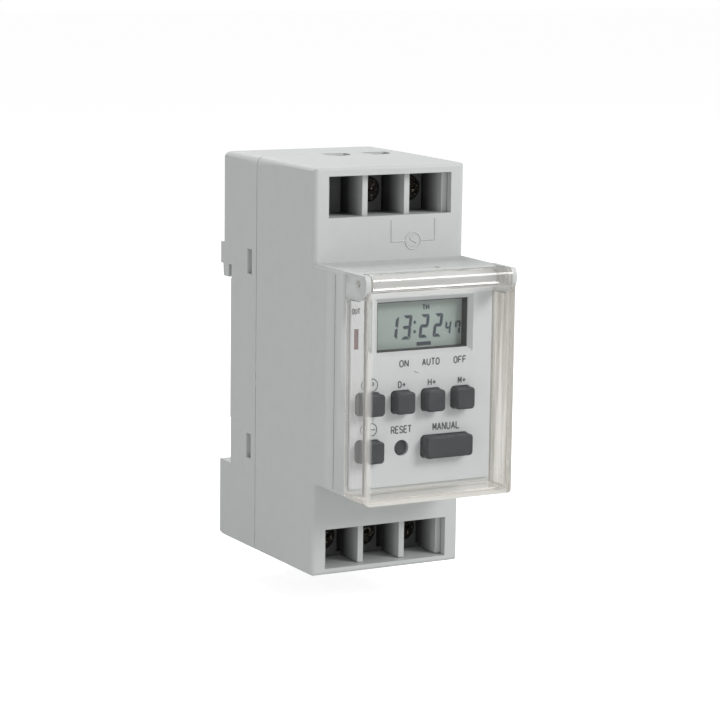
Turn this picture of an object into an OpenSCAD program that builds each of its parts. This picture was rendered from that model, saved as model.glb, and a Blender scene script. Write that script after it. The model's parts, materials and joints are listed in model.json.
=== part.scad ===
// Two-module weekly timer for a 35 mm mounting rail, as an assembly of separate pieces.
// X is right, +Z is up. The front of the object faces -Y, and the rail bears on the plane Y = 0.

/* [Housing] */
// Width over the side walls at the seam between the two shells
body_w = 36; // [36:0.1:36.4]
// Height over the two terminal shoulders
body_h = 86; // [86:0.1:86.6]
// Height of the nose that passes a 45 mm distribution board cut-out
nose_h = 46.2; // [46:0.1:46.4]
// Distance from the rail plane to the front of the clear cover
cover_depth = 61; // [61:0.1:61.4]
// Distance from the rail plane to the front of the terminal shoulders
shoulder_depth = 38.6; // [38.4:0.1:38.8]
// Wall thickness of the moulded shells
wall = 1.6; // [1.5:0.05:1.65]

/* [Rail] */
// Width of the mounting rail over its two flanges
rail_w = 35; // [35:0.1:35.2]
// Thickness of the rail's flanges
rail_t = 1; // [0.9:0.05:1]
// Travel of the rail clip when it is pulled open
clip_travel = 4.5; // [3:0.5:4.5]

/* [Terminals] */
// Distance between neighbouring terminal screws
terminal_pitch = 9.7; // [9.6:0.05:9.8]
// Width of one wire entry
entry_w = 5.9; // [5.6:0.1:6]
// Pitch of the clamp screw's thread
thread_pitch = 0.6; // [0.5:0.05:0.6]

/* [Front] */
// Width of a square push button
button_w = 4.4; // [4.2:0.1:4.6]
// Height of a push button
button_h = 4.5; // [4.3:0.1:4.7]
// Travel of a push button
button_travel = 0.5; // [0.3:0.05:0.5]
// Opening of the display window, width
window_w = 21.2; // [20:0.1:21.4]
// Opening of the display window, height
window_h = 10.25; // [9.5:0.05:10.4]

/* [Hidden] */
$fn = 48;
eps = 0.01;
fit = 0.05;
seam_y = -12.8;
shoulder_y = -shoulder_depth;
cover_y = -cover_depth;
side_draft = 0.0103;
top_draft = 0.0116;
corner_r = 2;
edge_r = 1.2;
lip_r = 0.8;
half_h = body_h / 2;
nose_z = nose_h / 2;
inner_x = body_w / 2 - wall - 0.1;
inner_z = half_h - wall;

// Nose, panel and cover stations, from back to front
nose_in_x = 16;
nose_in_z = nose_z - wall;
nose_rim_y = -52.4;
panel_y = -53;
panel_t = 1.6;
panel_back_y = panel_y + panel_t;
groove_y = -47.8;
hinge_y = -57.3;
hinge_z = 21.2;
lug_r = 3.3;
lug_in_x = 16.35;
pin_r = 0.75;
bead_r = 2;
plate_t = 1.6;
skirt_t = 1.3;
cover_x = 17.5;
cover_low_z = -23.5;

// Rear shell and rail seat
back_y = 3.4;
hook_y = 5.1;
hook_z = [18.2, 22.9];
lip_y = [rail_t + 0.2, 3.9];
lip_z = 15.5;
foot_z = -25.5;
seat_half_h = 15.3;
seat_step_y = -0.3;
seat_wall_y = -wall;
seam_gap = 0.25;
seam_step = 0.35;
snap_z = 20.1;
snap_half_h = 2.4;
snap_slot_y = [-10.4, -8.2];
clip_half_w = 6;
clip_slot_y = 1.7;
clip_wing = 1.15;

// Terminals
upper_z = 36.8;
lower_z = 36.9;
upper_window = [32.3, 40.85];
lower_window = [33, inner_z];
window_half_w = 14.5;
comb_y = -36.6;
comb_wall_y = -29;
comb_shoulder_y = -25.9;
comb_end_y = -10.5;
rib_t = 1.3;
rib_x = terminal_pitch / 2 + 0.1;
end_wall_t = 1.2;
slot_x = [3.1, rib_x - rib_t / 2];
head_r = 2.55;
screw_r = 1.75;
screw_head_y = [-28.6, -26.6];
screw_tip_y = -18.65;
bar_y = [-18.6, -17.8];
bar_half_w = 2;
cage_wall = 0.8;
cage_front_t = 1.2;
cage_back_t = 0.95;
cage_y = [-22.2, bar_y[1] + 1.55 + 6 * thread_pitch + cage_back_t];
cage_half_l = 3.6;
bar_leg_z = 29.2;
entry_r = entry_w / 2;
entry_depth = 4.9;

// Circuit boards
power_y = [-8, -6.4];
power_half = [14.7, 30.2];
control_y = [-45, -43.4];
control_x = 15.4;
control_z = [-20.6, 20.4];
boss_at = [[-12.4, -26], [12.4, -26], [-12.4, 26], [12.4, 26]];
panel_boss_at = [[-13.6, 0.9], [13.6, 0.9], [-13.6, -18.9], [13.6, -18.9]];

// Display
window_z = 11.375;
chamfer_w = 0.9;
lcd_half_w = 12.2;
lcd_z = [4.4, 18.4];
lcd_y = [-50, -47.8];
led_x = -14.7;
led_z = [7.3, 11.5];

// Push buttons: name, x, z, width
row_1_z = -4;
row_2_z = -13.75;
program_x = -12.4;
day_x = -5.35;
hour_x = 1.7;
minute_x = 8.7;
manual_x = 5.1;
manual_w = 11.05;
reset_at = [-5.05, -13.6];
reset_r = 1.5;
button_face_y = -55.5;
flange_y = [-51.25, -50.55];
stem_end_y = -48.9;
switch_top_y = -48.3;
plunger_r = 1.7;
plunger_l = 2.1;
switches_at = [
    [program_x, row_1_z], [day_x, row_1_z], [hour_x, row_1_z], [minute_x, row_1_z],
    [program_x, row_2_z], [manual_x, row_2_z], reset_at
];

// Spring behind the rail clip
spring_r = 1.25;
spring_wire = 0.35;
spring_turns = 6;
spring_z = [-38.9, -30.1];
spring_y = 3.4;
stop_z = [-40.5, -39];

// ---- Shared shapes ----

// Half the width of the housing at a station along Y: widest at the seam
function half_w(y) = body_w / 2 - side_draft * abs(y - seam_y);

// A box between two corners
module span(x, y, z) {
    translate([x[0], y[0], z[0]]) cube([x[1] - x[0], y[1] - y[0], z[1] - z[0]]);
}

// A round bar along Y between two stations
module rod_y(x, z, y, r) {
    translate([x, y[0], z]) rotate([-90, 0, 0]) cylinder(r = r, h = y[1] - y[0]);
}

// A round bar along X between two stations
module rod_x(x, y, z, r) {
    translate([x[0], y, z]) rotate([0, 90, 0]) cylinder(r = r, h = x[1] - x[0]);
}

// A flat outline with four round corners, centred on the origin
module round_rect(w, h, r) {
    square([w - 2 * r, h], center = true);
    square([w, h - 2 * r], center = true);
    for (sx = [-1, 1], sz = [-1, 1])
        translate([sx * (w / 2 - r), sz * (h / 2 - r)]) circle(r = r);
}

// An outline drawn in X and Z, carried along Y between two stations
module along_y(y) {
    translate([0, y[1], 0]) rotate([90, 0, 0]) linear_extrude(y[1] - y[0]) children();
}

// An outline drawn in Y and Z, carried along X between two stations
module along_x(x) {
    translate([x[0], 0, 0]) rotate([90, 0, 90]) linear_extrude(x[1] - x[0]) children();
}

// Block with round corners in X and Z
module round_block(x, z, y, w, h, r) {
    along_y(y) translate([x, z]) round_rect(w, h, r);
}

// Plan outline of the drafted side walls, with round front corners
module plan_outline(y_back, y_front, r) {
    x_back = half_w(y_back);
    x_side = half_w(y_front + r);
    polygon([
        [-x_back, y_back], [x_back, y_back], [x_side, y_front + r], [x_side - r, y_front],
        [r - x_side, y_front], [-x_side, y_front + r]
    ]);
    for (side = [-1, 1]) translate([side * (x_side - r), y_front + r]) circle(r = r);
}

// Everything between the drafted side walls
module side_walls(y_back, y_front, r) {
    translate([0, 0, -half_h - 1]) linear_extrude(body_h + 2) plan_outline(y_back, y_front, r);
}

// ---- Front housing ----

module shoulder_solid() {
    top = half_h - top_draft * (seam_y - shoulder_y);
    intersection() {
        side_walls(seam_y, shoulder_y, edge_r);
        along_y([shoulder_y, seam_y]) round_rect(body_w, body_h, corner_r);
        along_x([-body_w / 2, body_w / 2]) {
            polygon([
                [seam_y, -half_h], [seam_y, half_h], [shoulder_y + lip_r, top],
                [shoulder_y, top - lip_r], [shoulder_y, lip_r - top], [shoulder_y + lip_r, -top]
            ]);
            for (side = [-1, 1]) translate([shoulder_y + lip_r, side * (top - lip_r)]) circle(r = lip_r);
        }
    }
}

module nose_solid() {
    intersection() {
        side_walls(seam_y, nose_rim_y, eps);
        along_y([nose_rim_y, shoulder_y + 1]) round_rect(body_w - 0.7, nose_h, 0.9);
    }
    // roof that reaches forward over the panel, between the hinge lugs
    along_x([-lug_in_x - 1, lug_in_x + 1]) {
        polygon([
            [shoulder_y, nose_in_z], [shoulder_y, nose_z], [-54.5 + lip_r, nose_z - 0.1],
            [-54.5, nose_z - 0.1 - lip_r], [-54.5, nose_in_z]
        ]);
        translate([-54.5 + lip_r, nose_z - 0.1 - lip_r]) circle(r = lip_r);
    }
}

// Hinge lug at each upper front corner, round about the cover's pivot
module hinge_lugs() {
    intersection() {
        side_walls(seam_y, cover_y - 1, eps);
        for (side = [-1, 1]) mirror([side < 0 ? 1 : 0, 0, 0])
            along_x([lug_in_x, body_w / 2]) intersection() {
                union() {
                    translate([hinge_y, hinge_z]) circle(r = lug_r);
                    translate([hinge_y, hinge_z - lug_r]) square([nose_rim_y - hinge_y + 1, 8]);
                }
                translate([cover_y, 0]) square([20, nose_z]);
            }
    }
}

// Snap tongue that reaches into the rear shell, with its catch
module snap_tongue(z_mid) {
    for (side = [-1, 1]) mirror([side < 0 ? 1 : 0, 0, 0]) {
        span([15, inner_x + 0.5], [-18, seam_y - 0.2], [z_mid - snap_half_h, z_mid + snap_half_h]);
        span([15, 16.1], [-18, -7.6], [z_mid - snap_half_h, z_mid + snap_half_h]);
        translate([0, 0, z_mid - snap_half_h]) linear_extrude(2 * snap_half_h)
            polygon([[16, -10.2], [17.2, -10.1], [17.2, -9.5], [16.1, -8.3], [16, -8.3]]);
    }
}

// Wire entry cut from the seam into one end wall
module wire_entry(x, side) {
    translate([x, seam_y - entry_depth + entry_r, side > 0 ? inner_z - 1 : -half_h - 1])
        linear_extrude(wall + 2) {
            circle(r = entry_r);
            translate([-entry_r, 0]) square([entry_w, entry_depth]);
        }
}

module front_housing() color([0.78, 0.8, 0.8]) {
    difference() {
        union() {
            shoulder_solid();
            nose_solid();
            hinge_lugs();
            translate([3.5, -52.8, nose_z - 0.5]) cylinder(r = 0.6, h = 0.7);
        }
        // shoulder cavity, then nose cavity
        span([-inner_x, inner_x], [shoulder_y + wall, seam_y + 1], [-inner_z, inner_z]);
        span([-nose_in_x, nose_in_x], [cover_y - 2, shoulder_y + wall + 1], [-nose_in_z, nose_in_z]);
        // terminal windows
        span([-window_half_w, window_half_w], [shoulder_y - 1, shoulder_y + wall + 1], upper_window);
        span([-window_half_w, window_half_w], [shoulder_y - 1, shoulder_y + wall + 1],
            [-lower_window[1], -lower_window[0]]);
        for (x = [0, terminal_pitch]) wire_entry(x, 1);
        for (x = [-terminal_pitch, 0, terminal_pitch]) wire_entry(x, -1);
        // groove line down each side of the nose
        for (side = [-1, 1])
            translate([side * (half_w(groove_y) + 0.7), groove_y, -0.2])
                cube([2, 0.25, 44.2], center = true);
        // holes for the cover's pins
        for (side = [-1, 1]) rod_x([side * 17 - 1.2, side * 17 + 1.2], hinge_y, hinge_z, pin_r + fit);
    }
    // ledges that the front panel rests on
    for (side = [-1, 1])
        translate([0, -50.75, side * (nose_in_z - 0.35)]) cube([20, 1.1, 0.9], center = true);
    snap_tongue(snap_z);
    snap_tongue(-snap_z);
}

// ---- Rear cover ----

// Side outline of the rear shell: rail seat, upper hook and lower foot
module rear_outline() {
    polygon([
        [seam_y, -half_h], [seam_y, half_h], [back_y - 1.4, half_h - 0.2], [back_y, half_h - 1.6],
        [back_y, hook_z[1]], [hook_y, hook_z[1]], [hook_y, hook_z[0]], [lip_y[1], hook_z[0]],
        [lip_y[1] - 0.2, lip_z], [lip_y[0], lip_z], [lip_y[0], hook_z[0] + 0.1],
        [seat_step_y, hook_z[0] + 0.1], [seat_step_y, seat_half_h], [0, seat_half_h],
        [0, -seat_half_h], [seat_step_y, -seat_half_h], [seat_step_y, foot_z],
        [hook_y, foot_z], [hook_y, 1.6 - half_h],
        [hook_y - 1.4, 0.2 - half_h]
    ]);
    translate([back_y - 1.4, half_h - 1.6]) circle(r = 1.4);
    translate([hook_y - 1.4, 1.6 - half_h]) circle(r = 1.4);
}

// Hollow of the rear shell, stepped round the rail seat
module rear_hollow() {
    polygon([
        [seam_y - 1, inner_z], [back_y - wall, inner_z], [back_y - wall, 20.2],
        [seat_wall_y, 20.2], [seat_wall_y, foot_z - 1.7], [hook_y - 1.7, foot_z - 1.7],
        [hook_y - 1.7, -inner_z], [seam_y - 1, -inner_z]
    ]);
}

module rear_cover() color([0.76, 0.78, 0.77]) {
    rear_shell();
    // peg that the clip's spring pushes against
    span([-1.8, 1.8], [clip_slot_y - 0.1, hook_y - 0.5], stop_z);
}

module rear_shell() difference() {
    union() {
        difference() {
            intersection() {
                translate([0, 0, -half_h - 1]) linear_extrude(body_h + 2)
                    polygon([
                        [-body_w / 2, seam_y], [body_w / 2, seam_y],
                        [half_w(hook_y), hook_y + 1], [-half_w(hook_y), hook_y + 1]
                    ]);
                along_y([seam_y, hook_y + 1]) round_rect(body_w, body_h, corner_r);
                along_x([-body_w / 2, body_w / 2]) rear_outline();
            }
            along_x([-inner_x, inner_x]) rear_hollow();
        }
        // solid pad that guides the rail clip
        span([-8.8, 8.8], [0.1, hook_y - 0.5], [-inner_z - 0.5, foot_z - 1]);
        // pillars under the power board
        for (p = boss_at) rod_y(p[0], p[1], [power_y[1], p[1] < 0 ? 0 : back_y - 1], 2.4);
    }
    // clip channel with its side grooves
    span([-clip_half_w - 0.1, clip_half_w + 0.1], [clip_slot_y, hook_y + 1], [-half_h - 1, foot_z + 1]);
    span([-clip_half_w - clip_wing - 0.1, clip_half_w + clip_wing + 0.1], [2.3, 3.7],
        [-half_h - 1, foot_z - 1.8]);
    // groove where the two shells meet
    along_y([seam_y - 1, seam_y + seam_gap]) difference() {
        square(2 * body_h, center = true);
        round_rect(body_w - 2 * seam_step, body_h - 2 * seam_step, corner_r - seam_step);
    }
    // slots for the snap catches
    for (z_mid = [-snap_z, snap_z])
        span([-body_w / 2 - 1, body_w / 2 + 1], snap_slot_y,
            [z_mid - snap_half_h - 0.3, z_mid + snap_half_h + 0.3]);
    for (p = boss_at) rod_y(p[0], p[1], [power_y[1] - 1, -2], 0.85);
}

// ---- Front panel ----

module front_panel() color([0.78, 0.79, 0.8]) difference() {
    union() {
        span([0.1 - nose_in_x, nose_in_x - 0.1], [panel_y, panel_back_y], [0.1 - nose_in_z, nose_in_z - 0.1]);
        // collar round the display window
        span([-window_w / 2 - 0.8, window_w / 2 + 0.8], [panel_back_y - eps, lcd_y[0] - 0.1],
            [window_z - window_h / 2 - 0.8, window_z + window_h / 2 + 0.8]);
        for (p = panel_boss_at) rod_y(p[0], p[1], [panel_back_y - eps, control_y[0]], 1.5);
    }
    span([-window_w / 2, window_w / 2], [panel_y - 1, lcd_y[0] + 1],
        [window_z - window_h / 2, window_z + window_h / 2]);
    window_chamfer();
    span([led_x - 0.5, led_x + 0.5], [panel_y - 1, panel_back_y + 1], [led_z[0], led_z[1]]);
    for (x = [program_x, day_x, hour_x, minute_x]) button_hole(x, row_1_z, button_w);
    button_hole(program_x, row_2_z, button_w);
    button_hole(manual_x, row_2_z, manual_w);
    rod_y(reset_at[0], reset_at[1], [panel_y - 1, panel_back_y + 1], reset_r + 0.15);
    for (p = panel_boss_at) rod_y(p[0], p[1], [-49, control_y[0] + 1], 0.85);
}

// Sloping border of the display window, cut to the depth of its width
module window_chamfer() {
    intersection() {
        along_x([-nose_in_x, nose_in_x]) translate([panel_y, window_z]) chamfer_outline(window_h / 2);
        translate([0, panel_y, 0]) linear_extrude(nose_z) rotate(-90) mirror([1, 0]) chamfer_outline(window_w / 2);
    }
}

// Trapezium whose sloping sides narrow to a half-width as the depth grows
module chamfer_outline(half) {
    polygon([
        [-1, -half - chamfer_w - 1], [-1, half + chamfer_w + 1], [chamfer_w, half], [chamfer_w, -half]
    ]);
}

module button_hole(x, z, w) {
    round_block(x, z, [panel_y - 1, panel_back_y + 1], w + 0.3, button_h + 0.3, 0.9);
}

// ---- Clear cover ----

// Side outline of the part of the cover between the lugs: front plate and hinge bead
module cover_web() {
    translate([hinge_y, hinge_z]) circle(r = bead_r);
    polygon([
        [cover_y, cover_low_z + 1], [cover_y, hinge_z + 0.4], [cover_y + 1.6, hinge_z + bead_r],
        [hinge_y, hinge_z + bead_r], [hinge_y, hinge_z - 0.6],
        [cover_y + plate_t, hinge_z - 1.6], [cover_y + plate_t, cover_low_z + 1]
    ]);
    translate([cover_y + 1.6, hinge_z + bead_r - 1.6]) circle(r = 1.6);
}

// Side outline of a skirt, cleared round the hinge lug
module skirt_outline() {
    difference() {
        polygon([
            [nose_rim_y - 0.1, cover_low_z], [nose_rim_y - 0.1, hinge_z - lug_r - 0.3],
            [hinge_y, hinge_z - lug_r - 0.3], [hinge_y, 20], [cover_y, 20], [cover_y, cover_low_z]
        ]);
        translate([hinge_y, hinge_z]) circle(r = lug_r + 0.15);
    }
}

module clear_cover() color([0.9, 0.92, 0.92, 0.45]) {
    inner = cover_x - skirt_t;
    intersection() {
        union() {
            along_x([-lug_in_x + 0.1, lug_in_x - 0.1]) cover_web();
            for (x = [[-cover_x, -inner], [inner, cover_x]]) along_x(x) skirt_outline();
            span([-cover_x, cover_x], [cover_y, nose_rim_y - 0.1], [cover_low_z, cover_low_z + skirt_t]);
            span([-inner - eps, inner + eps], [cover_y, cover_y + plate_t], [cover_low_z, hinge_z - 2]);
        }
        // round vertical front corners and round lower corners
        translate([0, 0, cover_low_z - 1]) linear_extrude(60) {
            translate([-cover_x, cover_y + 1.4]) square([2 * cover_x, 20]);
            translate([1.4 - cover_x, cover_y]) square([2 * cover_x - 2.8, 20]);
            for (side = [-1, 1]) translate([side * (cover_x - 1.4), cover_y + 1.4]) circle(r = 1.4);
        }
        along_y([cover_y - 1, -40]) {
            translate([-cover_x, cover_low_z + 1.4]) square([2 * cover_x, 60]);
            translate([1.4 - cover_x, cover_low_z]) square([2 * cover_x - 2.8, 20]);
            for (side = [-1, 1]) translate([side * (cover_x - 1.4), cover_low_z + 1.4]) circle(r = 1.4);
        }
    }
    for (x = [[-17.2, 1 - lug_in_x], [lug_in_x - 1, 17.2]]) rod_x(x, hinge_y, hinge_z, pin_r);
}

// ---- Rail clip and its spring ----

module din_clip() color([0.72, 0.74, 0.73]) difference() {
    union() {
        // plate, hook over the rail's lower flange, and pull tab
        along_x([-clip_half_w, clip_half_w]) polygon([
            [1.9, -45.4], [4.9, -45.4], [4.9, -17], [4.1, -15.8], [1.6, -15.8], [lip_y[0], -16.3],
            [lip_y[0], -rail_w / 2 - 0.2], [0.2, -rail_w / 2 - 0.2],
            [0.2, foot_z + clip_travel + 0.3], [1.9, foot_z + clip_travel + 0.3]
        ]);
        span([-clip_half_w - clip_wing, clip_half_w + clip_wing], [2.45, 3.55], [-41, foot_z - 2]);
    }
    span([-2, 2], [1, 6], [-40.8, spring_z[1]]);
    span([-2.6, 2.6], [1, 6], [-44.7, -43.7]);
}

// Point on a ring of the spring's wire: turn angle, then angle round the wire
function coil_point(a, b, rise) = [
    (spring_r + spring_wire * cos(b)) * cos(a),
    (spring_r + spring_wire * cos(b)) * sin(a),
    spring_wire * sin(b) + rise
];

module din_clip_spring() color([0.75, 0.76, 0.78]) {
    rings = 16 * spring_turns;
    sides = 8;
    length = spring_z[1] - spring_z[0] - 2 * spring_wire;
    points = [
        for (i = [0:rings], j = [0:sides - 1])
            coil_point(i * 22.5, -j * 360 / sides, i * length / rings)
    ];
    walls = [
        for (i = [0:rings - 1], j = [0:sides - 1])
            let (a = i * sides + j, b = i * sides + (j + 1) % sides)
            each [[a, b, b + sides], [a, b + sides, a + sides]]
    ];
    ends = [
        [for (j = [0:sides - 1]) sides - 1 - j],
        [for (j = [0:sides - 1]) rings * sides + j]
    ];
    translate([0, spring_y, spring_z[0] + spring_wire])
        polyhedron(points = points, faces = concat(walls, ends));
}

// ---- Terminal blocks ----

// Comb block of one shoulder, drawn for the upper one: floor towards the nose, open outwards
module terminal_block(floor_z, screw_z, screws_x) {
    top_z = inner_z - 0.15;
    difference() {
        union() {
            span([-inner_x + 0.2, inner_x - 0.2], [comb_y, seam_y - 1], [floor_z - 1.2, floor_z]);
            span([-window_half_w, window_half_w], [comb_y, comb_end_y], [floor_z - 1.2, floor_z]);
            span([-window_half_w, window_half_w], [comb_wall_y, comb_shoulder_y], [floor_z - 1.2, top_z]);
            for (x = [-rib_x, rib_x])
                span([x - rib_t / 2, x + rib_t / 2], [comb_y, comb_end_y], [floor_z - 1.2, top_z]);
            for (x = [-window_half_w - 1, window_half_w - end_wall_t])
                span([x, x + end_wall_t + 1], [comb_y, comb_end_y], [floor_z - 1.2, top_z]);
        }
        // open slot beside each screw boss
        for (x = [-terminal_pitch, 0, terminal_pitch])
            span([x + slot_x[0], min(x + slot_x[1], window_half_w - end_wall_t)],
                [comb_wall_y - 1, comb_shoulder_y + 1], [floor_z, top_z - 0.8]);
        for (x = screws_x) {
            rod_y(x, screw_z, [comb_wall_y - 1, screw_head_y[1] + 0.05], head_r + 0.17);
            rod_y(x, screw_z, [comb_wall_y - 1, comb_shoulder_y + 1], screw_r + 0.15);
            span([x - bar_half_w - 0.1, x + bar_half_w + 0.1], [bar_y[0] - 0.1, bar_y[1] + 0.1],
                [floor_z - 3, floor_z + 1]);
        }
    }
}

module upper_terminal_block() color([0.74, 0.76, 0.76])
    terminal_block(upper_window[0] - 0.1, upper_z, [0, terminal_pitch]);

module lower_terminal_block() color([0.74, 0.76, 0.76]) mirror([0, 0, 1])
    terminal_block(lower_window[0] - 0.1, lower_z, [-terminal_pitch, 0, terminal_pitch]);

// Clamp screw: cheese head with a cross recess, and a shank to the contact bar
module terminal_screw(x, z) color([0.3, 0.3, 0.3]) difference() {
    union() {
        rod_y(x, z, screw_head_y, head_r);
        rod_y(x, z, [screw_head_y[1] - eps, screw_tip_y], screw_r);
    }
    for (turn = [0, 90]) translate([x, screw_head_y[0], z]) rotate([0, turn, 0])
        cube([3.4, 2.4, 0.75], center = true);
}

// Rising clamp cage: a ring round the contact bar, with the screw through its front wall
module clamp_cage(x, z) color([0.8, 0.8, 0.82]) difference() {
    span([x - 2.1 - cage_wall, x + 2.1 + cage_wall], cage_y, [z - cage_half_l, z + cage_half_l]);
    span([x - 2.1, x + 2.1], [cage_y[0] + cage_front_t, cage_y[1] - cage_back_t], [z - 5, z + 5]);
    rod_y(x, z, [cage_y[0] - 1, cage_y[0] + 2], screw_r + fit);
}

// Contact bar under one clamp, bent back through the power board, drawn for the upper side
module contact_bar(x, z) {
    along_x([x - bar_half_w, x + bar_half_w]) polygon([
        [bar_y[0], bar_leg_z], [bar_y[0], z + cage_half_l + 0.3], [bar_y[1], z + cage_half_l + 0.3],
        [bar_y[1], bar_leg_z + 0.8], [power_y[1] + 1, bar_leg_z + 0.8], [power_y[1] + 1, bar_leg_z]
    ]);
}

module contact_bars() color([0.8, 0.62, 0.35]) {
    for (x = [0, terminal_pitch]) contact_bar(x, upper_z);
    for (x = [-terminal_pitch, 0, terminal_pitch]) mirror([0, 0, 1]) contact_bar(x, lower_z);
}

// ---- Boards and their components ----

module power_pcb() color([0.55, 0.45, 0.25]) difference() {
    span([-power_half[0], power_half[0]], power_y, [-power_half[1], power_half[1]]);
    for (p = boss_at) rod_y(p[0], p[1], [power_y[0] - 1, power_y[1] + 1], 1.1);
    for (x = [-terminal_pitch, 0, terminal_pitch], side = [-1, 1])
        span([x - bar_half_w - 0.1, x + bar_half_w + 0.1], [power_y[0] - 1, power_y[1] + 1],
            [side * (bar_leg_z + 0.4) - 0.5, side * (bar_leg_z + 0.4) + 0.5]);
}

module control_pcb() color([0.15, 0.4, 0.22]) difference() {
    span([-control_x, control_x], control_y, control_z);
    for (p = panel_boss_at) rod_y(p[0], p[1], [control_y[0] - 1, control_y[1] + 1], 1.1);
}

// Pan-head board screw driven towards dir * Y from the board face at y_face
module board_screw(p, y_face, dir) {
    head = dir > 0 ? [y_face - 1.2, y_face] : [y_face, y_face + 1.2];
    shank = dir > 0 ? [y_face - eps, y_face + 5] : [y_face - 5, y_face + eps];
    rod_y(p[0], p[1], head, 1.9);
    rod_y(p[0], p[1], shank, 0.8);
}

module power_board_screws() color([0.7, 0.7, 0.72])
    for (p = boss_at) board_screw(p, power_y[0], 1);

module control_board_screws() color([0.7, 0.7, 0.72])
    for (p = panel_boss_at) board_screw(p, control_y[1], -1);

module lcd_display() color([0.62, 0.67, 0.64])
    span([-lcd_half_w, lcd_half_w], lcd_y, lcd_z);

module lcd_holder() color([0.85, 0.85, 0.83]) difference() {
    span([-13.4, 13.4], [lcd_y[0] - 0.6, control_y[0] - 0.05], [lcd_z[0] - 1, lcd_z[1] + 1.2]);
    span([-lcd_half_w - 0.1, lcd_half_w + 0.1], [lcd_y[0] - 2, lcd_y[1] + 0.05],
        [lcd_z[0] - 0.1, lcd_z[1] + 0.1]);
    span([-11, 11], [lcd_y[0] - 2, control_y[0] + 1], [7.2, 17.4]);
    span([-11.1, 11.1], [lcd_y[0] - 2, control_y[0] + 1], [4.6, 6.4]);
}

module zebra_connector() color([0.9, 0.6, 0.65])
    span([-11, 11], [lcd_y[1], control_y[0]], [4.7, 6.3]);

module microcontroller() color([0.12, 0.12, 0.13])
    span([-5, 5], [control_y[1], control_y[1] + 1.5], [-16.5, -6.5]);

module quartz_crystal() color([0.8, 0.8, 0.82])
    rod_x([8, 14.2], control_y[1] + 1.05, -9, 1.05);

module backup_battery() color([0.85, 0.85, 0.87])
    rod_y(3, 9.5, [control_y[1], control_y[1] + 3.2], 10);

module battery_strap() color([0.8, 0.8, 0.8]) {
    top = control_y[1] + 3.2;
    span([-8.8, 14.8], [top, top + 0.4], [7.5, 11.5]);
    for (x = [-8.8, 14.4]) span([x, x + 0.4], [control_y[1], top + 0.4], [7.5, 11.5]);
}

module tact_switches() color([0.14, 0.14, 0.15])
    for (p = switches_at) difference() {
        round_block(p[0], p[1], [switch_top_y, control_y[0]], 6, 6, 0.5);
        rod_y(p[0], p[1], [switch_top_y - 1, stem_end_y + plunger_l + button_travel + 0.1], plunger_r + 0.06);
    }

module status_led() color([0.75, 0.15, 0.12])
    span([led_x - 0.45, led_x + 0.45], [panel_y + 0.1, control_y[0]], [led_z[0] + 0.05, led_z[1] - 0.05]);

module relay() color([0.2, 0.3, 0.5])
    round_block(-8.25, 0, [power_y[0] - 16, power_y[0]], 12.7, 29, 0.6);

module film_capacitor() color([0.85, 0.8, 0.4])
    round_block(6, -5, [power_y[0] - 15, power_y[0]], 8, 18, 0.8);

module electrolytic_capacitor() color([0.15, 0.2, 0.35])
    rod_y(8, 11.5, [power_y[0] - 13, power_y[0]], 5);

module varistor() color([0.25, 0.45, 0.7])
    rod_x([11.2, 14.6], power_y[0] - 4.6, -8, 4.5);

module rectifier_diodes() color([0.1, 0.1, 0.1])
    for (i = [0:3]) translate([-13.2 + 2.9 * i, power_y[0] - 1.35, 20])
        cylinder(r = 1.3, h = 3.4);

module dropper_resistor() color([0.7, 0.6, 0.45])
    rod_x([8.4, 14.6], power_y[0] - 1.7, -19.5, 1.6);

// Straight pins between the two boards, with a moulded bar at each end
module board_header() color([0.2, 0.2, 0.2]) {
    for (i = [0:5]) translate([2.54 * (i - 2.5), (control_y[1] + power_y[0]) / 2, -19.2])
        cube([0.64, power_y[0] - control_y[1], 0.64], center = true);
    for (y = [control_y[1], power_y[0] - 2.5]) span([-7.6, 7.6], [y, y + 2.5], [-20.5, -17.9]);
}

// ---- Buttons ----

// Push button: cap through the panel, flange behind it, stem down to its switch
module button(x, z, w) color([0.33, 0.34, 0.36]) {
    round_block(x, z, [button_face_y + 0.25, flange_y[0]], w, button_h, 0.8);
    round_block(x, z, [button_face_y, button_face_y + 0.25 + eps], w - 0.5, button_h - 0.5, 0.6);
    round_block(x, z, [flange_y[0] - eps, flange_y[1]], w + 1.2, button_h + 1.2, 0.8);
    span([x - 1.1, x + 1.1], [flange_y[1] - eps, stem_end_y], [z - 1.1, z + 1.1]);
}

module button_program() button(program_x, row_1_z, button_w);
module button_day() button(day_x, row_1_z, button_w);
module button_hour() button(hour_x, row_1_z, button_w);
module button_minute() button(minute_x, row_1_z, button_w);
module button_clock() button(program_x, row_2_z, button_w);
module button_manual() button(manual_x, row_2_z, manual_w);

module button_reset() color([0.33, 0.34, 0.36]) {
    rod_y(reset_at[0], reset_at[1], [panel_y + 0.6, flange_y[0]], reset_r);
    rod_y(reset_at[0], reset_at[1], [flange_y[0] - eps, flange_y[1]], reset_r + 0.8);
    rod_y(reset_at[0], reset_at[1], [flange_y[1] - eps, stem_end_y], 1.1);
}

// Plunger of one tact switch: it travels with its button
module plunger(p) color([0.6, 0.3, 0.2])
    rod_y(p[0], p[1], [stem_end_y, stem_end_y + plunger_l], plunger_r);

module plunger_program() plunger([program_x, row_1_z]);
module plunger_day() plunger([day_x, row_1_z]);
module plunger_hour() plunger([hour_x, row_1_z]);
module plunger_minute() plunger([minute_x, row_1_z]);
module plunger_clock() plunger([program_x, row_2_z]);
module plunger_manual() plunger([manual_x, row_2_z]);
module plunger_reset() plunger(reset_at);

// ---- Assembly ----

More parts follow.
